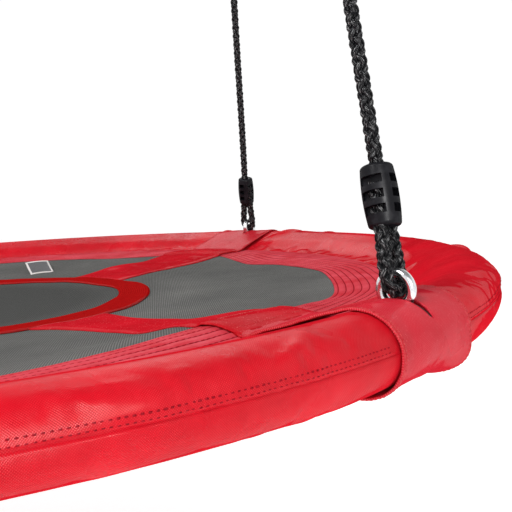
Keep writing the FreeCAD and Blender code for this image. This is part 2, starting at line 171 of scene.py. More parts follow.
class Look(Nodes):
    """A new material with one principled shader."""

    def __init__(self, name, colour, roughness, **sockets):
        self.material = bpy.data.materials.new(name)
        self.material.use_nodes = True
        super().__init__(self.material.node_tree)
        self.inputs = self.tree.nodes["Principled BSDF"].inputs
        self.colour(colour)
        self.roughness(roughness)
        for socket, value in sockets.items():
            self.join(value, self.inputs[socket.replace("_", " ")])

    def gloss(self, facing, grazing=0.0):
        """Specular level, lower where the surface is seen edge on, as the weave breaks up reflections."""
        layer = self.add("ShaderNodeLayerWeight", {"Blend": 0.5})
        level = self.spread(layer.outputs["Facing"], 0.25, 0.80, facing, grazing)
        self.join(level, self.inputs["Specular IOR Level"])

    def colour(self, value):
        self.join(value, self.inputs["Base Color"])

    def roughness(self, value):
        self.join(value, self.inputs["Roughness"])

    def bump(self, height, distance, strength=1.0, after=None):
        inputs = {"Height": height, "Distance": distance, "Strength": strength}
        if after is not None:
            inputs["Normal"] = after
        made = self.add("ShaderNodeBump", inputs).outputs[0]
        self.join(made, self.inputs["Normal"])
        return made


def weave(look, pitch):
    """A plain weave: warp and weft tops one after the other."""
    across, along = look.cloth_place()
    return look.times(look.wave(across, pitch), look.wave(along, pitch))


def red_cloth(name, deep, bright, pitch, shine=0.27, gloss=0.11, specks=0, grain=0.03):
    """Coated woven polyester: a fine weave whose thread tops are painted slightly paler as a painted highlight,
    strongest in soft random patches.
    """
    look = Look(name, bright, shine, Sheen_Weight=0.02, Sheen_Roughness=0.35, Sheen_Tint=(1.0, 0.55, 0.62))
    look.gloss(gloss)
    threads = weave(look, pitch)
    place = look.coordinates()
    base = look.mix(look.spread(look.noise(place, 11.0, 4.0, 0.6), 0.35, 0.65), deep, bright)
    # Painted highlight: the weave's thread tops are painted in a paler colour, lifted and made pinker by grain,
    # more strongly in soft random patches.
    pale = tuple(min(1.0, grain + channel * 1.12) for channel in bright)
    highlight_patches = look.spread(look.noise(place, 45.0, 4.0, 0.7), 0.35, 0.70, 0.25, 0.95)
    cloth = look.mix(look.times(look.spread(threads, 0.1, 1.0), highlight_patches), base, pale)
    if specks:
        flecks = look.spread(look.noise(place, 700.0, 1.0), 0.67, 0.76, 0.0, specks)
        cloth = look.mix(flecks, cloth, (0.80, 0.22, 0.24))
    look.colour(cloth)
    look.roughness(look.spread(look.noise(place, 26.0), 0.3, 0.7, shine - 0.05, shine + 0.10))
    fine = look.bump(threads, 0.00006, 0.8)
    look.bump(look.noise(place, 80.0, 4.0), 0.0007, 0.5, fine)
    return look.material


def hem_cloth(name):
    """Paler stitched cloth, a dark line of thread and shadow in each furrow."""
    look = Look(name, (0.60, 0.030, 0.050), 0.45, Sheen_Weight=0.05, Sheen_Roughness=0.35)
    look.gloss(0.08)
    patches = look.spread(look.noise(look.coordinates(), 30.0, 4.0, 0.6), 0.35, 0.65)
    base = look.mix(patches, (0.54, 0.022, 0.036), (0.64, 0.060, 0.085))
    pitch = HEM_ROWS[1] - HEM_ROWS[0]
    furrow = look.wave(look.maths("ADD", look.cloth_place()[0], 0.75 * pitch - HEM_ROWS[0]), pitch)
    look.colour(look.mix(look.spread(furrow, -1.0, -0.86, 1.0, 0.0), base, (0.20, 0.002, 0.008)))
    fine = look.bump(weave(look, 0.0011), 0.00006, 0.8)
    look.bump(look.noise(look.coordinates(), 90.0, 3.0), 0.0006, 0.5, fine)
    return look.material


def webbing(name):
    """Ribbed orange-red webbing, with painted shade darkening it between its ribs and threads."""
    look = Look(name, (0.55, 0.03, 0.01), 0.55)
    look.gloss(0.12)
    across, along = look.cloth_place()
    ribs = look.wave(across, 0.0024)
    threads = look.times(look.wave(along, 0.0016), ribs)
    both = look.maths("ADD", look.times(ribs, 0.5), look.times(threads, 0.5))
    # Painted shade: the colour darkens where the ribs and threads sink, following the bump's relief.
    look.colour(look.mix(look.spread(both, -0.8, 0.8), (0.30, 0.003, 0.005), (0.50, 0.012, 0.010)))
    look.bump(both, 0.0004, 0.8)
    return look.material


def mesh_mat(name):
    """Dark coated mesh: a fine grid of yarns with small gaps painted near black as shade, slightly dusty in
    patches, and painted shade darkening the yarns towards the middle where the mat sags.
    """
    look = Look(name, (0.07, 0.07, 0.065), 0.62)
    look.gloss(0.10)
    place = look.coordinates()
    warp, weft = (look.wave(way, 0.0019) for way in look.split(place)[:2])
    yarn = look.times(look.maths("MAXIMUM", warp, weft), 0.7)
    relief = look.maths("ADD", yarn, look.times(look.times(warp, weft), 0.3))
    dust = look.spread(look.noise(place, 6.0, 5.0, 0.6), 0.35, 0.7)
    # Painted shade: the yarns are painted darker in the middle of the mat, where it sags.
    middle = look.spread(look.cloth_place()[0], 0.16, 0.27)
    outer = look.mix(dust, (0.150, 0.150, 0.145), (0.225, 0.222, 0.214))
    threads = look.mix(middle, (0.100, 0.101, 0.098), outer)
    # Painted shade: the gaps between the yarns are painted near black.
    look.colour(look.mix(look.spread(relief, -0.5, 0.6), (0.022, 0.022, 0.021), threads))
    look.bump(relief, 0.00035, 0.8)
    return look.material


def braid_fibre(name):
    """Black rope yarn: fine fibres along each strand, with pale glints painted into its colour as painted
    highlights on each strand's outer crest.
    """
    look = Look(name, (0.012, 0.012, 0.013), 0.30)
    look.gloss(0.08)
    across, along = look.cloth_place("strand")
    fibres = look.add("ShaderNodeCombineXYZ", {"X": look.times(across, 13.0), "Y": look.times(along, 130.0)})
    streaks = look.noise(fibres.outputs[0], 2.2, 4.0, 0.65)
    # Painted highlight: pale streaks are painted on the outer crest of each strand.
    crest = look.spread(look.wave(across, 1.0), 0.35, 0.95)
    glint = look.times(look.spread(streaks, 0.53, 0.68), crest)
    look.colour(look.mix(glint, (0.003, 0.003, 0.004), (0.46, 0.465, 0.47)))
    look.roughness(look.spread(streaks, 0.4, 0.7, 0.24, 0.42))
    look.bump(streaks, 0.0007, 0.9)
    return look.material


def moulded_plastic(name):
    """Satin black plastic with a faint moulded grain and paler rubbed patches."""
    look = Look(name, (0.012, 0.012, 0.014), 0.36)
    look.gloss(0.10)
    place = look.coordinates()
    rubbed = look.noise(place, 120.0, 5.0, 0.6)
    look.colour(look.mix(look.spread(rubbed, 0.5, 0.75), (0.007, 0.007, 0.009), (0.020, 0.020, 0.024)))
    look.roughness(look.spread(rubbed, 0.3, 0.7, 0.30, 0.46))
    look.bump(look.noise(place, 900.0, 2.0), 0.00008, 0.5)
    return look.material


def zinc(name, colour, roughness, spangle):
    """Plated or galvanised steel: faint spangle and fine scratches."""
    look = Look(name, colour, roughness, Metallic=1.0)
    place = look.coordinates()
    grains = look.add("ShaderNodeTexVoronoi", {"Vector": place, "Scale": spangle}).outputs["Color"]
    grey = look.add("ShaderNodeRGBToBW", {"Color": grains}).outputs[0]
    look.colour(look.mix(grey, tuple(channel * 0.82 for channel in colour), colour))
    look.roughness(look.spread(look.noise(place, 400.0, 4.0), 0.3, 0.7, roughness * 0.7, roughness * 1.5))
    look.bump(look.noise(place, 700.0, 3.0), 0.00005, 0.4)
    return look.material


def thread(name, dark, pale):
    look = Look(name, dark, 0.6)
    look.gloss(0.05)
    look.colour(look.mix(look.spread(look.noise(look.coordinates(), 900.0), 0.35, 0.65), dark, pale))
    return look.material


def foam(name):
    look = Look(name, (0.5, 0.5, 0.48), 0.9)
    cells = look.add("ShaderNodeTexVoronoi", {"Vector": look.coordinates(), "Scale": 500.0}).outputs[0]
    # Painted shade: the colour is darker in the pits of the cells, with the same pattern as the bump.
    look.colour(look.mix(cells, (0.36, 0.36, 0.35), (0.58, 0.58, 0.56)))
    look.bump(cells, 0.0004, 0.6)
    return look.material


def tag_cloth(name):
    """A blank woven tag: a pale selvedge round a dark grey field."""
    look = Look(name, (0.4, 0.38, 0.36), 0.55)
    edge = look.maths("MAXIMUM", *(look.maths("ABSOLUTE", way) for way in look.cloth_place()))
    look.colour(look.mix(look.spread(edge, 0.0142, 0.0146), (0.10, 0.10, 0.105), (0.72, 0.68, 0.66)))
    look.bump(weave(look, 0.0009), 0.0001, 0.5)
    return look.material


def make_looks():
    return {
        "sleeve": red_cloth("sleeve_cloth", (0.46, 0.0014, 0.0080), (0.62, 0.0024, 0.0130), 0.0013,
                            gloss=0.13, grain=0.050),
        "strap": red_cloth("strap_cloth", (0.42, 0.0024, 0.0080), (0.56, 0.0044, 0.0140), 0.0013,
                           shine=0.40, gloss=0.06, specks=0.55),
        "wrap": red_cloth("wrap_cloth", (0.46, 0.0050, 0.0140), (0.58, 0.0110, 0.0280), 0.0016,
                          shine=0.30, gloss=0.12, specks=0.35, grain=0.10),
        "hem": hem_cloth("hem_cloth"),
        "webbing": webbing("band_webbing"),
        "mat": mesh_mat("mesh"),
        "rope": braid_fibre("braid"),
        "plastic": moulded_plastic("moulded_black"),
        "galvanised": zinc("galvanised", (0.50, 0.52, 0.54), 0.38, 300.0),
        "bright": zinc("bright_zinc", (0.82, 0.83, 0.85), 0.16, 900.0),
        "thread": thread("dark_thread", (0.22, 0.003, 0.009), (0.36, 0.008, 0.018)),
        "pale_thread": thread("red_thread", (0.42, 0.020, 0.022), (0.60, 0.10, 0.10)),
        "foam": foam("foam"),
        "tag": tag_cloth("tag"),
    }


# ---- meshes

def new_object(name, vertices, faces, material, uvs=None, layer="cloth"):
    """A smooth mesh object. uvs has one pair for each vertex."""
    mesh = bpy.data.meshes.new(name)
    mesh.from_pydata([tuple(v) for v in vertices], [], [tuple(f) for f in faces])
    mesh.polygons.foreach_set("use_smooth", [True] * len(mesh.polygons))
    if uvs is not None:
        corners = np.empty(len(mesh.loops), dtype=np.int32)
        mesh.loops.foreach_get("vertex_index", corners)
        made = mesh.uv_layers.new(name=layer)
        made.data.foreach_set("uv", np.asarray(uvs, dtype=np.float32)[corners].ravel())
    mesh.materials.append(material)
    mesh.update()
    made = bpy.data.objects.new(name, mesh)
    bpy.context.scene.collection.objects.link(made)
    return made


def grid_faces(rows, columns, close_rows=False, close_columns=False):
    """Quads of a grid of rows by columns of points, numbered row by row."""
    faces = []
    for row in range(rows if close_rows else rows - 1):
        below = (row + 1) % rows
        for column in range(columns if close_columns else columns - 1):
            beside = (column + 1) % columns
            faces.append((row * columns + column, below * columns + column,
                          below * columns + beside, row * columns + beside))
    return faces


def grid(rows, columns, place):
    """Vertices and UVs of a grid, row by row, from a function of row and column that gives both."""
    pairs = [place(row, column) for row in range(rows) for column in range(columns)]
    return [vertex for vertex, _ in pairs], [uv for _, uv in pairs]


def flipped(faces):
    return [face[::-1] for face in faces]


def shifted(faces, base):
    return [tuple(base + k for k in face) for face in faces]


def stand_for(made, node, body="seat"):
    """Puts a piece in a CAD node's place and on its body."""
    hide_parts(node)
    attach(made, body)


def thicken(made, thickness, offset=-1.0):
    solid = made.modifiers.new("thickness", "SOLIDIFY")
    solid.thickness = thickness
    solid.offset = offset
    return made


def ripple(x, y, z, size, seed, octaves=3):
    """Smooth noise between about -1 and 1, with features of a given size in metres."""
    point = Vector((x / size + seed * 7.3, y / size - seed * 3.1, z / size + seed * 1.7))
    return noise.fractal(point, 1.0, 2.0, octaves, noise_basis="PERLIN_ORIGINAL")


def smooth(value, low, high):
    share = min(max((value - low) / (high - low), 0.0), 1.0)
    return share * share * (3 - 2 * share)


def bell(value, middle, wide):
    return exp(-((value - middle) / wide) ** 2)


def unit(vectors):
    return vectors / np.linalg.norm(vectors, axis=-1, keepdims=True)


def evenly(points, spacing):
    """Evenly spaced points on a line of points, and the length so far at each."""
    length = np.concatenate([[0], np.cumsum(np.linalg.norm(np.diff(points, axis=0), axis=1))])
    at = np.linspace(0, length[-1], int(length[-1] / spacing) + 1)
    return np.column_stack([np.interp(at, length, way) for way in np.transpose(points)]), at


def spun(angle, along, side):
    """A place in a corner's own plan, turned to where that corner is."""
    return Matrix.Rotation(angle, 2) @ Vector((along, side))


# ---- rim section

def touch_angle(wide, tall, start):
    """Angle on the rim's ellipse where a line from a point above the hem just touches it."""
    across = (start[0] - RING_RADIUS) / wide
    up = start[1] / tall
    return atan2(up, across) - acos(1 / hypot(across, up))


def even(points, spacing=0.0005):
    """Evenly spaced points (radius, height) on a line, the normals on its left, the length so far."""
    made, at = evenly(points, spacing)
    ahead = unit(np.gradient(made, axis=0))
    return made, np.column_stack([-ahead[:, 1], ahead[:, 0]]), at


def rim_section(seam):
    """The sleeve's line from the hem over the rim to the seam."""
    start = (HEM_OUTER + 0.0003, HEM_HALF)
    angles = np.linspace(touch_angle(RIM_WIDE, RIM_TALL, start), seam, 400)
    arc = np.column_stack([RING_RADIUS + RIM_WIDE * np.cos(angles), RIM_TALL * np.sin(angles)])
    return even(np.vstack([np.linspace(start, arc[0], 60)[:-1], arc]))


def on_section(section, share):
    """(radius, height, normal's radius and height) at a share of the section's length."""
    points, normals, length = section
    row = min(int(round(share * length[-1] / (length[1] - length[0]))), len(length) - 1)
    return (*points[row], *normals[row])


def rim_point(angle, radius, height):
    return (radius * cos(angle), radius * sin(angle), RING_HEIGHT + height)


# ---- sleeve

FOLDS = {  # by corner: start along and across, end along and across, height, width, in metres
    "front_right": [
        (0.062, 0.050, 0.180, 0.098, 0.0036, 0.0075),
        (0.060, 0.032, 0.230, 0.080, 0.0030, 0.0090),
        (0.070, 0.020, 0.280, 0.040, 0.0022, 0.0080),
        (0.340, 0.020, 0.398, 0.105, 0.0048, 0.0100),
        (0.412, 0.015, 0.418, 0.100, -0.0030, 0.0120),
        (-0.062, 0.050, -0.130, 0.100, 0.0026, 0.0080),
        (-0.066, 0.030, -0.220, 0.060, 0.0022, 0.0100),
    ],
    "back_right": [
        (-0.060, 0.045, -0.110, 0.100, 0.0035, 0.0080),
        (-0.062, 0.030, -0.200, 0.085, 0.0036, 0.0090),
        (-0.150, 0.020, -0.175, 0.100, 0.0030, 0.0090),
        (0.062, 0.045, 0.150, 0.100, 0.0030, 0.0090),
    ],
    "back_left": [
        (-0.062, 0.045, -0.170, 0.095, 0.0036, 0.0080),
        (0.060, 0.030, 0.210, 0.085, 0.0036, 0.0090),
    ],
    "front_left": [
        (-0.060, 0.045, -0.150, 0.100, 0.0036, 0.0080),
        (0.062, 0.032, 0.200, 0.070, 0.0034, 0.0090),
    ],
}


def angle_from(angle, corner):
    """Signed angle from a corner's eye, in radians."""
    return remainder(angle - radians(CORNER_ANGLE[corner]), tau)


def from_corner(angle):
    """How far along the rim a place is from the nearest eye, in metres."""
    return min(abs(angle_from(angle, corner)) for corner in CORNER_ANGLE) * RING_RADIUS


def fold_height(angle, length, upper):
    """Height of the pull folds that run out from the wraps, at a place on a panel."""
    height = 0.0
    for corner, folds in FOLDS.items():
        along = angle_from(angle, corner) * RING_RADIUS
        for along_a, across_a, along_b, across_b, tall, wide in folds:
            if abs(along - (along_a + along_b) / 2) > 0.25:
                continue
            run = Vector((along_b - along_a, across_b - across_a))
            place = Vector((along - along_a, length - across_a))
            share = min(max(place.dot(run) / run.length_squared, 0), 1)
            away = hypot(along - along_a - run.x * share, length - across_a - run.y * share)
            size = tall * (0.45 + 0.55 * sin(pi * (0.15 + 0.7 * share)))
            height += size * bell(away, 0, wide) * (1.0 if upper else 0.4)
    return height


def lowest(length):
    """How far in the cloth may go: not into the foam, but it may sink into the wedge by the hem."""
    return 0.0002 - 0.0050 * (1 - smooth(length, 0.018, 0.046))


def sleeve_bulge(angle, length, whole, upper):
    """How far the cloth starts out from its plain section, before it is simulated: broad slack,
    pull folds, and a dip over the empty wedge between the hem and the foam."""
    along = angle * RING_RADIUS
    broad = ripple(along, length * 1.2, 0, 0.085, 1, 2) * 0.0015
    middle = ripple(along * 0.9, length, 4, 0.034, 2, 2) * 0.0010
    ramp = bell(length, 0.026, 0.020)
    dip = ramp * (-0.0022 + ripple(along, length * 0.4, 2, 0.050, 5, 2) * 0.0026)
    drawn = bell(angle_from(angle, "front_right"), 0.42, 0.17)
    free = smooth(length, 0.0, 0.012) * smooth(whole - length, 0.0, 0.010)
    slack = (broad + middle) * (1 - 0.8 * drawn) + fold_height(angle, length, upper) - 0.0004 * drawn
    if not upper:
        slack = 0.4 * slack + 0.0020 * smooth(-angle_from(angle, "front_right"), 0.23, 0.60)
    slack = slack * free + dip
    near_seam = exp(-(whole - length) / 0.011)
    slack += (ripple(along, length * 0.25, 6, 0.012, 13, 2) - 0.25) * 0.0009 * near_seam
    slack = max(slack, lowest(length))
    return slack * smooth(from_corner(angle), 0.044, 0.064)


class Panel:
    """A quarter of the sleeve's upper or lower cloth between two eye bolts, as rows of points."""

    rows = 271
    columns = 27

    def __init__(self, side, upper):
        self.upper = upper
        self.name = f"{'upper' if upper else 'lower'}_{side}"
        sign = 1 if upper else -1
        section = rim_section(sign * SEAM_ANGLE)
        self.whole = section[2][-1]
        opening = radians(0.5)
        start = radians(SIDE_ANGLE[side] - 45) + opening
        self.angles = np.linspace(start, start + pi / 2 - 2 * opening, self.rows)
        self.lengths = np.linspace(0, self.whole, self.columns)
        self.points, self.base, self.normals = np.zeros((3, self.rows, self.columns, 3))
        for row, angle in enumerate(self.angles):
            for column, length in enumerate(self.lengths):
                radius, height, out, up = on_section(section, length / self.whole)
                bulge = sleeve_bulge(angle, length, self.whole, upper)
                self.base[row, column] = rim_point(angle, radius, sign * height)
                self.normals[row, column] = out * cos(angle), out * sin(angle), sign * up
                self.points[row, column] = self.base[row, column] + self.normals[row, column] * bulge

    def held(self):
        """Pinning weights: the sewn edges and the cloth under the wraps stay where they are."""
        weights = np.zeros((self.rows, self.columns))
        weights[:, [0, -1]] = 1.0
        for row, angle in enumerate(self.angles):
            weights[row] = np.maximum(weights[row], 1 - smooth(from_corner(angle), 0.046, 0.056))
        return weights

    def settle(self, moved):
        """Takes the simulated points, with each one's travel capped and kept off the foam."""
        travel = moved - self.points
        far = np.linalg.norm(travel, axis=2, keepdims=True)
        most = 0.005 if self.upper else 0.0014
        self.points = self.points + travel * np.minimum(1.0, most / np.maximum(far, 1e-9))
        off = ((self.points - self.base) * self.normals).sum(axis=2)
        floor = np.array([lowest(length) for length in self.lengths])
        self.points += self.normals * np.maximum(floor - off, 0)[:, :, None]

    def at(self, angle, length, lift=0.0):
        """A point on the cloth and its normal."""
        row = np.clip((angle - self.angles[0]) / (self.angles[1] - self.angles[0]), 0, self.rows - 1.001)
        column = np.clip(length / self.lengths[1], 0, self.columns - 1.001)
        i, j = int(row), int(column)
        u, v = row - i, column - j
        corner = self.points[i:i + 2, j:j + 2]
        near = corner[0] * (1 - u) + corner[1] * u
        point = near[0] * (1 - v) + near[1] * v
        normal = unit(np.cross(corner[1, 0] - corner[0, 0], near[1] - near[0]))
        if normal @ self.normals[i, j] < 0:
            normal = -normal
        return point + normal * lift, normal


SETTLE_FRAMES = 18
CLOTH = {"vertex_group_mass": "sewn", "quality": 6, "mass": 0.12, "tension_stiffness": 25,
         "compression_stiffness": 25, "shear_stiffness": 8, "bending_stiffness": 0.25,
         "use_pressure": True, "uniform_pressure_force": 1.2}


def settling_cloth(panel):
    """A panel as a cloth object, held where it's sewn."""
    mesh = bpy.data.meshes.new("settling")
    vertices = [tuple(point) for point in panel.points.reshape(-1, 3)]
    mesh.from_pydata(vertices, [], grid_faces(panel.rows, panel.columns))
    if not panel.upper:
        mesh.flip_normals()
    made = bpy.data.objects.new("settling", mesh)
    bpy.context.scene.collection.objects.link(made)
    pin = made.vertex_groups.new(name="sewn")
    for index, weight in enumerate(panel.held().ravel()):
        if weight > 0:
            pin.add([index], float(weight), "REPLACE")
    cloth = made.modifiers.new("cloth", "CLOTH")
    for name, value in CLOTH.items():
        setattr(cloth.settings, name, value)
    cloth.settings.shrink_min = -0.020 if panel.upper else -0.010
    cloth.settings.effector_weights.gravity = 0
    cloth.collision_settings.use_collision = False
    cloth.point_cache.frame_start = 1
    cloth.point_cache.frame_end = SETTLE_FRAMES
    return made


def simulate(panels):
    """Lets the panels settle as cloth: slightly too large for their sewn edges, and filled by the
    padding's pressure, so that they crease and pucker along the seams."""
    scene = bpy.context.scene
    made = [settling_cloth(panel) for panel in panels]
    for number in range(1, SETTLE_FRAMES + 1):
        scene.frame_set(number)
    depsgraph = bpy.context.evaluated_depsgraph_get()
    for panel, cloth_object in zip(panels, made):
        settled = cloth_object.evaluated_get(depsgraph).data
        moved = np.empty(len(settled.vertices) * 3)
        settled.vertices.foreach_get("co", moved)
        panel.settle(moved.reshape(panel.rows, panel.columns, 3))
    for cloth_object in made:
        bpy.data.objects.remove(cloth_object)
    scene.frame_set(1)


def panel_object(panel, looks):
    uvs = [(angle * RING_RADIUS, length * (1 if panel.upper else -1))
           for angle in panel.angles for length in panel.lengths]
    faces = grid_faces(panel.rows, panel.columns)
    if not panel.upper:
        faces = flipped(faces)
    made = new_object(f"cloth_{panel.name}", panel.points.reshape(-1, 3), faces, looks["sleeve"], uvs)
    smoother = made.modifiers.new("smoother", "SUBSURF")
    smoother.levels = 1
    smoother.render_levels = 1
    thicken(made, 0.0009)
    stand_for(made, f"sleeve_{panel.name}")


# ---- stitches

STITCH_LIFT = 0.0001


def stitch_rows(name, rows, looks, kind, long=0.0034, gap=0.0010, thick=0.00042):
    """Rows of raised stitches. Each row is a function of a length giving a point and its normal, with
    the row's whole length."""
    vertices = []
    faces = []
    for place, whole in rows:
        for number in range(int(whole / (long + gap))):
            start = number * (long + gap)
            first, up = place(start)
            last, _ = place(start + long)
            add_stitch(vertices, faces, np.array(first), np.array(last), np.array(up), thick)
    made = new_object(name, vertices, faces, looks[kind])
    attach(made, "seat")
    return made


def add_stitch(vertices, faces, first, last, up, thick):
    """A short rounded thread from one point to another, sunk at both ends."""
    ahead = last - first
    side = np.cross(up, ahead)
    side /= max(np.linalg.norm(side), 1e-9)
    base = len(vertices)
    vertices.append(first - up * thick * 0.6)
    for share in (0.22, 0.78):
        middle = first + ahead * share
        for across, lift in ((1, 0.0), (0, 1.0), (-1, 0.0), (0, -1.0)):
            vertices.append(middle + side * across * thick + up * lift * thick)
    vertices.append(last - up * thick * 0.6)
    for k in range(4):
        following = (k + 1) % 4
        faces.append((base, base + 1 + k, base + 1 + following))
        faces.append((base + 1 + k, base + 5 + k, base + 5 + following, base + 1 + following))
        faces.append((base + 9, base + 5 + following, base + 5 + k))


def seam_row(panel, from_end, lift):
    """A row along the rim, a given length short of a panel's outer seam."""
    start = panel.angles[0] + 0.085
    whole = (panel.angles[-1] - 0.085 - start) * (RING_RADIUS + RIM_WIDE)

    def place(at):
        return panel.at(start + at / (RING_RADIUS + RIM_WIDE), panel.whole - from_end, lift)

    return place, whole


def ring_row(radius, height):
    """A row round the middle of the seat at one radius."""
    def place(at):
        return rim_point(at / radius, radius, height(radius, at / radius) + STITCH_LIFT), (0, 0, 1)

    return place, tau * radius


# ---- mat, hem, band, straps

def dish(radius):
    """Height of the mat's plain dish, without waves."""
    return -MAT_SAG * (1 - (radius / HEM_OUTER) ** 2)


def mat_height(x, y):
    """Height of the mat's middle layer over the ring's plane: it sags, with a few slack waves. The
    straps pull its edge up at the corners, and it hangs lower beside them."""
    radius = hypot(x, y)
    turn = degrees(atan2(y, x))
    free = 1 - smooth(radius, 0.36, 0.435)
    waves = ripple(x, y, 0, 0.15, 6, 2) * 0.0026 + ripple(x * 0.5 + y, y * 0.4 - x, 3, 0.055, 8, 2) * 0.0007
    lift = 0.0085 * bell(turn, -50, 15) - 0.0035 * bell(turn, -23, 8)
    lift += 0.0040 * bell(turn, 45, 8) - 0.0045 * bell(turn, 28, 8)
    lift += 0.0060 * bell(abs(turn), 135, 12) - 0.0030 * (bell(abs(turn), 110, 9) + bell(abs(turn), 160, 9))
    lift *= smooth(radius, 0.352, 0.425) * (1 - smooth(radius, 0.448, 0.488))
    return dish(min(radius, HEM_OUTER)) + waves * free + lift


def hem_edge(angle):
    """Radius of the hem's inner edge, which the straps' pull draws in and out."""
    turn = degrees(remainder(angle, tau))
    shift = ripple(cos(angle), sin(angle), 0, 0.30, 10, 2) * 0.003
    shift += 0.006 * bell(turn, -23, 9) - 0.018 * bell(turn, 27, 8) - 0.012 * bell(turn, 14, 9)
    shift += -0.012 * bell(turn, 66, 10)
    return HEM_INNER + shift


def height_at(radius, angle):
    return mat_height(radius * cos(angle), radius * sin(angle))


def ring_grid(shares, segments, inner, outer, height):
    """Vertices, UVs and faces of a flat ring. inner and outer give its radii at an angle, and shares
    how far between them each circle of points lies."""
    def place(row, column):
        angle = tau * column / segments
        radius = inner(angle) + (outer(angle) - inner(angle)) * shares[row]
        return rim_point(angle, radius, height(radius, angle)), (radius - inner(angle), angle * 0.45)

    return *grid(len(shares), segments, place), grid_faces(len(shares), segments, close_columns=True)


def make_mat(looks):
    segments = 288
    vertices, uvs, faces = ring_grid(np.linspace(0, 1, 120), segments, lambda angle: 0.002,
                                     lambda angle: MAT_EDGE, height_at)
    faces = flipped(faces) + [tuple(range(segments))]
    made = thicken(new_object("mesh_mat", vertices, faces, looks["mat"], uvs), 0.0010)
    stand_for(made, "mat")


HEM_ROWS = [0.0040, 0.0118, 0.0196, 0.0274, 0.0352, 0.0430]


def hem_lift(radius, angle):
    """Height of the hem's upper face: it puffs up between its rows of stitching."""
    inset = radius - hem_edge(angle)
    dip = 0.0009 * bell(min(abs(inset - row) for row in HEM_ROWS), 0, 0.0014)
    edge = 0.0008 * exp(-inset / 0.0010)
    slack = ripple(radius * cos(angle), radius * sin(angle), 0, 0.030, 7, 2) * 0.0004
    return height_at(radius, angle) + max(HEM_HALF + 0.0005 - dip - edge + slack, 0.0012)


def make_hem(looks):
    """The stitched hem: an upper and a lower layer with the mat's edge between them."""
    segments = 540
    shares = np.linspace(0, 1, 60) ** 1.1
    rim = HEM_OUTER + 0.0015
    vertices, uvs, faces = ring_grid(shares, segments, hem_edge, lambda angle: rim, hem_lift)
    below = [(x, y, RING_HEIGHT + mat_height(x, y) - HEM_HALF) for x, y, _ in vertices]
    count = len(vertices)
    edge = [(k, (k + 1) % segments, count + (k + 1) % segments, count + k) for k in range(segments)]
    faces = flipped(faces) + shifted(faces, count) + edge
    made = new_object("stitched_hem", vertices + below, faces, looks["hem"], uvs + uvs)
    stand_for(made, "hem")
    stitch_rows("hem_stitches", [hem_row(inset) for inset in HEM_ROWS], looks, "thread", long=0.0040,
                thick=0.00050)


def hem_row(inset):
    def place(at):
        angle = at / HEM_INNER
        radius = hem_edge(angle) + inset
        return rim_point(angle, radius, hem_lift(radius, angle) + STITCH_LIFT), (0, 0, 1)

    return place, tau * HEM_INNER


def make_band(looks):
    """The webbing band round the middle, four rows of stitching in it."""
    def height(radius, angle):
        edge = min(radius - BAND_INNER, BAND_OUTER - radius)
        return height_at(radius, angle) + 0.0007 + 0.0014 * smooth(edge, -0.0008, 0.0016)

    vertices, uvs, faces = ring_grid(np.linspace(0, 1, 26), 320, lambda angle: BAND_INNER,
                                     lambda angle: BAND_OUTER, height)
    made = new_object("webbing_band", vertices, flipped(faces), looks["webbing"], uvs)
    stand_for(thicken(made, 0.0012), "middle_band")
    rows = [ring_row(BAND_INNER + inset, height) for inset in (0.0030, 0.0110, 0.0230, 0.0310)]
    stitch_rows("band_stitches", rows, looks, "thread")


STRAP_HALF = ((0.230, 0.046), (0.290, 0.039), (0.350, 0.0395), (0.415, 0.046), (0.485, 0.047))
STRAP_START = 0.2373
STRAP_END = 0.478
STRAP_FULLNESS = {"front_right": 0.84, "back_right": 1.12}


def strap_half(radius, where=""):
    """Half a strap's width. Along its middle the cloth is bunched more on some straps than on others."""
    middle = 1 - smooth(abs(radius - 0.335), 0.05, 0.10)
    fullness = 1 + (STRAP_FULLNESS.get(where, 0.95) - 1) * middle
    return float(np.interp(radius, *zip(*STRAP_HALF))) * fullness


def strap_flare(radius, where, side):
    """How much wider a strap is on the side where its loose edge spreads out."""
    if side < 0:
        return 0.0
    if where == "front_right":
        return 0.008 * bell(radius, 0.430, 0.042)
    return 0.016 * bell(radius, 0.320, 0.060) + 0.020 * smooth(radius, 0.37, 0.44)


def surface(x, y):
    """Height of the mat's upper face, or of the hem's where the hem covers it."""
    inset = hypot(x, y) - hem_edge(atan2(y, x))
    return mat_height(x, y) + (HEM_HALF + 0.0006) * smooth(inset, -0.0025, 0.0005)


def strap_height(where, radius, x, y, side):
    """Height of a strap's upper face. Its edges are sewn down onto the mat and the hem."""
    edge = strap_half(radius, where) + strap_flare(radius, where, side) - abs(side)
    slack = ripple(radius * 0.6, side * 1.6, radius, 0.030, 8, 2) * 0.0007 * smooth(edge, 0.004, 0.012)
    loose = 0.0
    if where == "back_right" and side > 0:
        loose = 0.0030 * bell(radius, 0.320, 0.045) * smooth(side, 0.010, 0.050)
    return surface(x, y) + 0.0009 + 0.0010 * smooth(edge, 0.0, 0.006) + slack + loose


def strap_point(where, angle, radius, side, lift=0.0):
    """A point of a strap's upper face, a given distance to the side of its middle."""
    turned = spun(angle, sqrt(radius ** 2 - side ** 2), side)
    return turned.x, turned.y, RING_HEIGHT + strap_height(where, radius, *turned, side) + lift


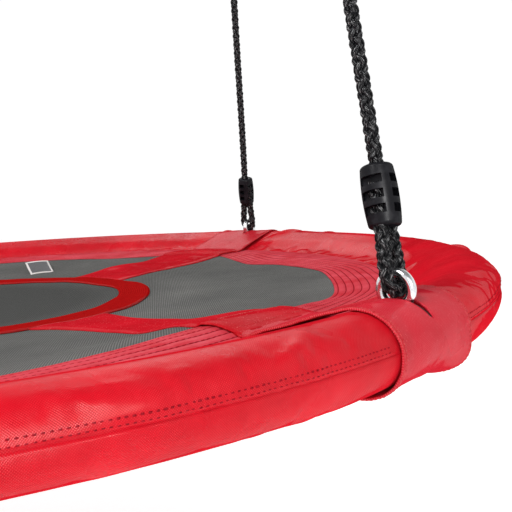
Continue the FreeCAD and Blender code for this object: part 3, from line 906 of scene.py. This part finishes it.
def strap_piece(where, angle, looks):
    rows, columns = 90, 34

    def place(row, column):
        radius = STRAP_START + (STRAP_END - STRAP_START) * row / (rows - 1)
        share = 2 * column / (columns - 1) - 1
        side = share * (strap_half(radius, where) + strap_flare(radius, where, share))
        return strap_point(where, angle, radius, side), (side, sqrt(radius ** 2 - side ** 2))

    vertices, uvs = grid(rows, columns, place)
    faces = flipped(grid_faces(rows, columns))
    made = thicken(new_object(f"cloth_strap_{where}", vertices, faces, looks["strap"], uvs), 0.0012)
    stand_for(made, f"strap_{where}")
    rows = [strap_edge_row(where, angle, sign, inset) for sign in (-1, 1) for inset in (0.0035, 0.0075)]
    stitch_rows(f"strap_stitches_{where}", rows, looks, "thread")


def strap_edge_row(where, angle, sign, inset):
    def place(at):
        radius = STRAP_START + 0.002 + at
        side = sign * (strap_half(radius, where) + strap_flare(radius, where, sign) - inset)
        return strap_point(where, angle, radius, side, STITCH_LIFT), (0, 0, 1)

    return place, STRAP_END - STRAP_START - 0.004


# ---- wraps

WRAP_HALF = 0.050
WRAP_START = 0.444
WRAP_UNDER = 0.445
WRAP_FLAT_END = 0.480
WRAP_LIFT = 0.0036
WRAP_SKIN = 0.0015
WRAP_GAP = 0.0010
SLIT = (RING_RADIUS - 0.016, RING_RADIUS + 0.028)


def wrap_section():
    """The wrap's outer line: flat on the strap, over and under the rim, and flat below the hem."""
    wide = RIM_WIDE + WRAP_GAP + WRAP_SKIN
    tall = RIM_TALL + WRAP_GAP + WRAP_SKIN
    flats = []
    touches = []
    for start, sign in ((WRAP_START, 1), (WRAP_UNDER, -1)):
        off = sign * (WRAP_LIFT + WRAP_SKIN)
        flats.append([(radius, dish(radius) + off) for radius in (start, WRAP_FLAT_END)])
        touches.append(sign * touch_angle(wide, tall, (WRAP_FLAT_END, sign * flats[-1][1][1])))
    angles = np.linspace(touches[0], touches[1], 300)
    arc = np.column_stack([RING_RADIUS + wide * np.cos(angles), tall * np.sin(angles)])
    points = even(np.vstack([flats[0], arc, flats[1][::-1]]), 0.001)[0]
    for _ in range(6):
        points[1:-1] = (points[:-2] + points[1:-1] * 2 + points[2:]) / 4
    return even(points)


WRAP_SECTION = wrap_section()


def wrap_half(radius, height):
    """Half the wrap's width: its upper end on the strap is narrower."""
    if height < -0.004 and radius < 0.5:
        return WRAP_HALF
    return 0.040 + (WRAP_HALF - 0.040) * smooth(radius, WRAP_START, WRAP_START + 0.045)


def wrap_flare(radius, height, side):
    """How far the wrap's free edges stand off the sleeve."""
    outer = smooth(radius, RING_RADIUS - 0.060, RING_RADIUS - 0.015)
    edge = smooth(abs(side), 0.030, WRAP_HALF)
    low = smooth(height, 0.000, -0.022)
    loose = 0.0008 + 0.0010 * low + 0.0002 * bell(radius, RING_RADIUS - 0.035, 0.016)
    return outer * (edge * edge * loose + 0.0050 * low * smooth(side, 0.010, 0.045))


def wrap_place(angle, side, row):
    """A point of the wrap's outer face and its normal, by its place across and along the cloth."""
    points, normals, length = WRAP_SECTION
    radius, height = points[row]
    out, up = normals[row]
    along = sqrt(radius ** 2 - side ** 2)
    turned = spun(angle, along, side)
    flat = 1 - smooth(radius, 0.470, 0.502)
    if height > -0.004:
        edge = wrap_half(radius, height) - abs(side)
        sewn = surface(*turned) + 0.0012 + 0.0022 * smooth(edge, 0.0, 0.006)
        height += flat * (sewn - height)
    else:
        height += flat * (mat_height(*turned) - dish(radius))
    wave = ripple(side * 1.2, length[row] * 0.8, angle, 0.026, 9, 3) * 0.0008
    crease = abs(ripple(side * 0.6 + length[row] * 0.8, length[row], angle + 3, 0.016, 11, 2)) * 0.0007
    off = wrap_flare(radius, height, side) + (wave + crease + 0.0004) * smooth(radius, 0.46, 0.52)
    turned = spun(angle, along + out * off, side)
    normal = spun(angle, out, 0)
    return (turned.x, turned.y, RING_HEIGHT + height + up * off), (normal.x, normal.y, up)


def slit_half(radius):
    """Half the slit's opening: widest round the eye, closing to a point at each end."""
    share = (radius - SLIT[0]) / (SLIT[1] - SLIT[0])
    return 0.0045 * sin(pi * min(max(share, 0.0), 1.0)) ** 0.55


WRAP_EDGES = np.array([0.0, 0.0015, 0.004, 0.008, 0.014, 0.021, 0.028, 0.034, 0.039, 0.043, 0.0465, 0.0485,
                       0.050])


def wrap_piece(where, angle, looks):
    points, _, length = WRAP_SECTION
    picked = range(0, len(length), 5)
    sides = np.concatenate([-WRAP_EDGES[::-1], WRAP_EDGES])
    rows, columns, middle = len(picked), len(sides), len(WRAP_EDGES)
    splits = [slit_half(radius) if height > 0.015 else 0.0 for radius, height in points[::5]]

    def place(row, column):
        half = wrap_half(*points[picked[row]])
        moved = splits[row] + abs(sides[column]) * (half - splits[row]) / WRAP_HALF
        side = copysign(moved, sides[column])
        return wrap_place(angle, side, picked[row])[0], (side, length[picked[row]])

    vertices, uvs = grid(rows, columns, place)
    for row in range(rows):
        if splits[row] <= 0.0:
            vertices[row * columns + middle - 1] = vertices[row * columns + middle]
    faces = [face for face in grid_faces(rows, columns) if face[0] % columns != middle - 1]
    made = new_object(f"cloth_wrap_{where}", vertices, faces, looks["wrap"], uvs)
    made.modifiers.new("weld", "WELD").merge_threshold = 0.00005
    made.data.materials.append(looks["strap"])
    sewn_rows = sum(1 for row in picked if length[row] < 0.034)
    for polygon in made.data.polygons:
        polygon.material_index = int(max(polygon.vertices) < sewn_rows * columns)
    stand_for(thicken(made, WRAP_SKIN), f"wrap_{where}")
    stitch_rows(f"wrap_stitches_{where}", wrap_rows(angle), looks, "pale_thread", long=0.0022, gap=0.0008,
                thick=0.00036)


def wrap_rows(angle):
    """Stitching along both edges of the wrap and round the sewn patch at its upper end."""
    points, _, length = WRAP_SECTION
    rows = [wrap_edge_row(angle, sign, inset) for sign in (-1, 1) for inset in (0.0009, 0.0034)]
    for start in (0.003, 0.026):
        row = int(start / length[1])
        half = wrap_half(*points[row]) - 0.004
        rows.append((lambda at, row=row, half=half: wrap_place(angle, at - half, row), 2 * half))
    return rows


def wrap_edge_row(angle, sign, inset):
    points, _, length = WRAP_SECTION

    def place(at):
        row = min(int(at / length[1]), len(length) - 1)
        return wrap_place(angle, sign * (wrap_half(*points[row]) - inset), row)

    return place, length[-1] - 0.004


# ---- tag

def make_tag(looks):
    """The blank tag, standing up from the mat on its sewn front edge and curling a little."""
    low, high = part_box("blank_tag")
    middle = (Vector(low) + Vector(high)) / 2
    side = 0.034
    lean = Matrix.Rotation(radians(22), 3, "Z") @ Matrix.Rotation(radians(24.5), 3, "X")
    rows = 15

    def place(row, column):
        across = side * (column / (rows - 1) - 0.5)
        up = side * (row / (rows - 1) - 0.5)
        curl = 0.0016 * (up / side + 0.5) ** 2 - 0.0012 * (across / side * 2) ** 2
        return middle + lean @ Vector((across, up, curl)), (across, up)

    vertices, uvs = grid(rows, rows, place)
    made = new_object("woven_tag", vertices, grid_faces(rows, rows), looks["tag"], uvs)
    stand_for(thicken(made, 0.0009, 0.0), "blank_tag")


# ---- ropes

def rope_frame(where):
    """A rope's own frame: X across its loops, Y along the eye's wire, Z up the rope."""
    mount = mounts[f"thimble_bore_{where}"]
    eye = Vector(joints[f"rope_swing_{where}"]["pos_m"])
    wire = Vector(mount["axis"]).normalized()
    sideways = Vector((0, 0, 1)).cross(Vector((eye.x, eye.y, 0)).normalized())
    base = eye + wire.cross(sideways).normalized() * ROUTE_START
    up = (Vector(mount["pos_m"]) - base).normalized()
    across = wire.cross(up)
    return Matrix((across, wire, up)).transposed().to_4x4(), base


def rope_line(where):
    """The rope's middle, read from a spline through its route's control points."""
    turn, base = rope_frame(where)
    curve = bpy.data.curves.new(f"route_{where}", "CURVE")
    curve.dimensions = "3D"
    curve.resolution_u = 24
    spline = curve.splines.new("NURBS")
    spline.points.add(len(ROPE_ROUTE) - 1)
    for point, (across, up) in zip(spline.points, ROPE_ROUTE):
        point.co = (*(base + turn @ Vector((across, 0, up))), 1)
    spline.order_u = 3
    spline.use_endpoint_u = True
    holder = bpy.data.objects.new(f"route_{where}", curve)
    bpy.context.scene.collection.objects.link(holder)
    line = bpy.data.meshes.new_from_object(holder.evaluated_get(bpy.context.evaluated_depsgraph_get()))
    points = np.array([tuple(v.co) for v in line.vertices])
    bpy.data.objects.remove(holder)
    return points, np.array(turn.col[1][:3])


STRANDS = 4  # in each direction


def rope_piece(where, looks):
    """A braid of eight strands round a dark core, along the rope's own line."""
    route, flat = rope_line(where)
    points, at = evenly(route, 0.0012)
    ahead = unit(np.gradient(points, axis=0))
    first = unit(np.cross(flat, ahead))
    second = np.cross(ahead, first)
    vertices = []
    faces = []
    uvs = []
    parts = [strand(points, at, first, second, hand, number) for hand in (1, -1) for number in range(STRANDS)]
    for more, places in parts + [core(points, at, first, second)]:
        sides = len(more) // len(points)
        faces += shifted(flipped(grid_faces(len(points), sides, close_columns=True)), len(vertices))
        vertices += more
        uvs += places
    first_end = len(vertices) - len(more)
    last_end = len(vertices) - sides
    faces += [tuple(first_end + k for k in range(sides)), tuple(last_end + k for k in range(sides))[::-1]]
    made = new_object(f"braided_rope_{where}", vertices, faces, looks["rope"], uvs, "strand")
    stand_for(made, f"rope_{where}", f"rope_set_{where}")


def strand(points, at, first, second, hand, number):
    """One strand, winding one way and passing over and under those that wind the other way."""
    pitch, middle, swing, wide, thick = 0.050, 0.00300, 0.00095, 0.00205, 0.00160
    sides = 14
    turn = tau * at / pitch
    wander = np.array([ripple(place, number, hand, 0.021, 12, 2) for place in at])
    angle = (hand * turn + tau * number / STRANDS + wander * 0.10)[:, None]
    radius = middle + hand * swing * np.cos(STRANDS * turn) + wander * 0.00012
    out = first * np.cos(angle) + second * np.sin(angle)
    centre = points + out * radius[:, None]
    side = unit(np.cross(unit(np.gradient(centre, axis=0)), out))

    def place(row, k):
        around = tau * k / sides
        ridge = 1 + 0.07 * cos(7 * around + at[row] * 900)
        point = centre[row] + side[row] * wide * ridge * cos(around)
        point = point + out[row] * thick * ridge * sin(around)
        return point, (k / sides + number + (7 if hand < 0 else 0), at[row])

    return grid(len(points), sides, place)


def core(points, at, first, second):
    sides = 12

    def place(row, k):
        angle = tau * k / sides
        return (points[row] + 0.0026 * (first[row] * cos(angle) + second[row] * sin(angle)),
                (20 + k / sides, at[row]))

    return grid(len(points), sides, place)


# ---- kept CAD nodes

def turned_part(centre, profile, sides):
    """Vertices and faces of a turned part, from (radius, height) pairs from the top down."""
    vertices = []
    for radius, height in profile:
        for number in range(sides):
            angle = tau * number / sides
            vertices.append(centre + Vector((radius * cos(angle), radius * sin(angle), height)))
    return vertices, flipped(grid_faces(len(profile), sides, close_columns=True))


def ring_eye(centre, outwards):
    """The eye's ring, standing across the rim, a little thicker where it's welded to its shank."""
    rows, sides = 96, 20
    up = Vector((0, 0, 1))
    vertices = []
    for row in range(rows):
        angle = tau * row / rows
        spoke = outwards * cos(angle) + up * sin(angle)
        wire = EYE_WIRE * (1 + 0.18 * bell(angle, 1.5 * pi, 0.35))
        for number in range(sides):
            around = tau * number / sides
            wobble = 1 + 0.012 * ripple(angle, around, 0, 0.9, 14, 2)
            offset = spoke * cos(around) + outwards.cross(up) * sin(around)
            vertices.append(centre + spoke * EYE_RADIUS + offset * wire * wobble)
    return vertices, grid_faces(rows, sides, close_rows=True, close_columns=True)


def eye_piece(where, looks):
    """A ring eye with its collar and threaded shank, sitting low in the wrap's slit."""
    middle = Vector(joints[f"rope_swing_{where}"]["pos_m"]) - Vector((0, 0, EYE_SUNK))
    vertices, faces = ring_eye(middle, Vector((middle.x, middle.y, 0)).normalized())
    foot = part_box(f"eye_bolt_{where}")[0][2] - RING_HEIGHT
    top = middle.z - RING_HEIGHT - EYE_RADIUS
    shank, root, collar, tip = 0.0040, 0.0037, 0.0075, 0.0001
    profile = [(tip, top), (shank, top), (shank, 0.0193), (collar, 0.0190), (collar, 0.0162), (shank, 0.0160)]
    turns = np.arange(-0.0145, foot + 0.0006, -0.0004)
    profile += [(shank if number % 2 else root, height) for number, height in enumerate(turns)]
    profile += [(0.0033, foot), (tip, foot)]
    more, turned = turned_part(Vector((middle.x, middle.y, RING_HEIGHT)), profile, 28)
    faces += shifted(turned, len(vertices))
    made = new_object(f"ring_eye_{where}", vertices + more, faces, looks["bright"])
    stand_for(made, f"eye_bolt_{where}")


def dress_cad(looks):
    """Materials and softened edges for the CAD nodes that stay in view or lie inside the rim."""
    kinds = {"ferrule": "plastic", "thimble": "galvanised", "tube": "galvanised", "joiner": "galvanised",
             "eye": "bright", "foam": "foam"}
    for name, node in frame["nodes"].items():
        kind = kinds.get(name.split("_")[0])
        if kind is None:
            continue
        node.data.materials.clear()
        node.data.materials.append(looks[kind])
        if kind == "plastic":
            bevel = node.modifiers.new("soft edges", "BEVEL")
            bevel.width = 0.0006
            bevel.segments = 2
            bevel.angle_limit = radians(40)


# ---- stage

def make_world():
    """A plain white studio, dimmer overhead and underfoot than round the horizon."""
    world = bpy.data.worlds.new("studio")
    bpy.context.scene.world = world
    world.use_nodes = True
    nodes = Nodes(world.node_tree)
    height = nodes.maths("ABSOLUTE", nodes.split(nodes.coordinates("Generated"))["Z"])
    level = nodes.spread(height, 0.36, 0.80, 1.02, 0.30, interpolation_type="SMOOTHSTEP")
    background = world.node_tree.nodes["Background"].inputs
    nodes.join((1.0, 1.0, 1.0), background["Color"])
    nodes.join(level, background["Strength"])


def make_stage():
    bpy.context.scene.view_settings.view_transform = "Standard"
    make_world()
    look = Look("pale_floor", (0.90, 0.90, 0.90), 0.9, Emission_Strength=0.52, Emission_Color=(1.0, 1.0, 1.0))
    look.bump(look.noise(look.coordinates(), 3.0), 0.001, 0.2)
    half = 9.0
    height = cad_box[0][2] - 0.45
    corners = [(-half, -half, height), (half, -half, height), (half, half, height), (-half, half, height)]
    new_object("floor", corners, [(0, 1, 2, 3)], look.material)
    soft_light("key", (-1.0, -1.3, 2.0), 0.9, 47)
    soft_light("front", (0.75, -2.8, 1.15), 0.70, 11)
    soft_light("back", (0.4, 2.5, 1.25), 1.1, 8)
    soft_light("glint", (0.60, -2.8, 1.10), 0.55, 95).visible_diffuse = False


def soft_light(name, place, side, power):
    data = bpy.data.lights.new(name, "AREA")
    data.shape = "DISK"
    data.size = side
    data.energy = power
    light = bpy.data.objects.new(name, data)
    light.location = place
    aim = Vector((0.1, -0.1, 0.0)) - Vector(place)
    light.rotation_euler = aim.to_track_quat("-Z", "Y").to_euler()
    bpy.context.scene.collection.objects.link(light)
    return light


# ---- assembly

def make_sleeve(looks):
    panels = [Panel(side, upper) for side in SIDE_ANGLE for upper in (True, False)]
    simulate(panels)
    for panel in panels:
        panel_object(panel, looks)
        if panel.upper:
            rows = [seam_row(panel, inset, 0.0007) for inset in (0.0020, 0.0050)]
            stitch_rows(f"seam_stitches_{panel.name}", rows, looks, "thread", long=0.0024, gap=0.0013,
                        thick=0.00055)


make_camera()
looks = make_looks()
for corner in CORNER_ANGLE:
    rope_piece(corner, looks)
    eye_piece(corner, looks)
make_sleeve(looks)
make_hem(looks)
make_mat(looks)
make_band(looks)
for corner, heading in CORNER_ANGLE.items():
    strap_piece(corner, radians(heading), looks)
    wrap_piece(corner, radians(heading), looks)
make_tag(looks)
dress_cad(looks)
make_stage()
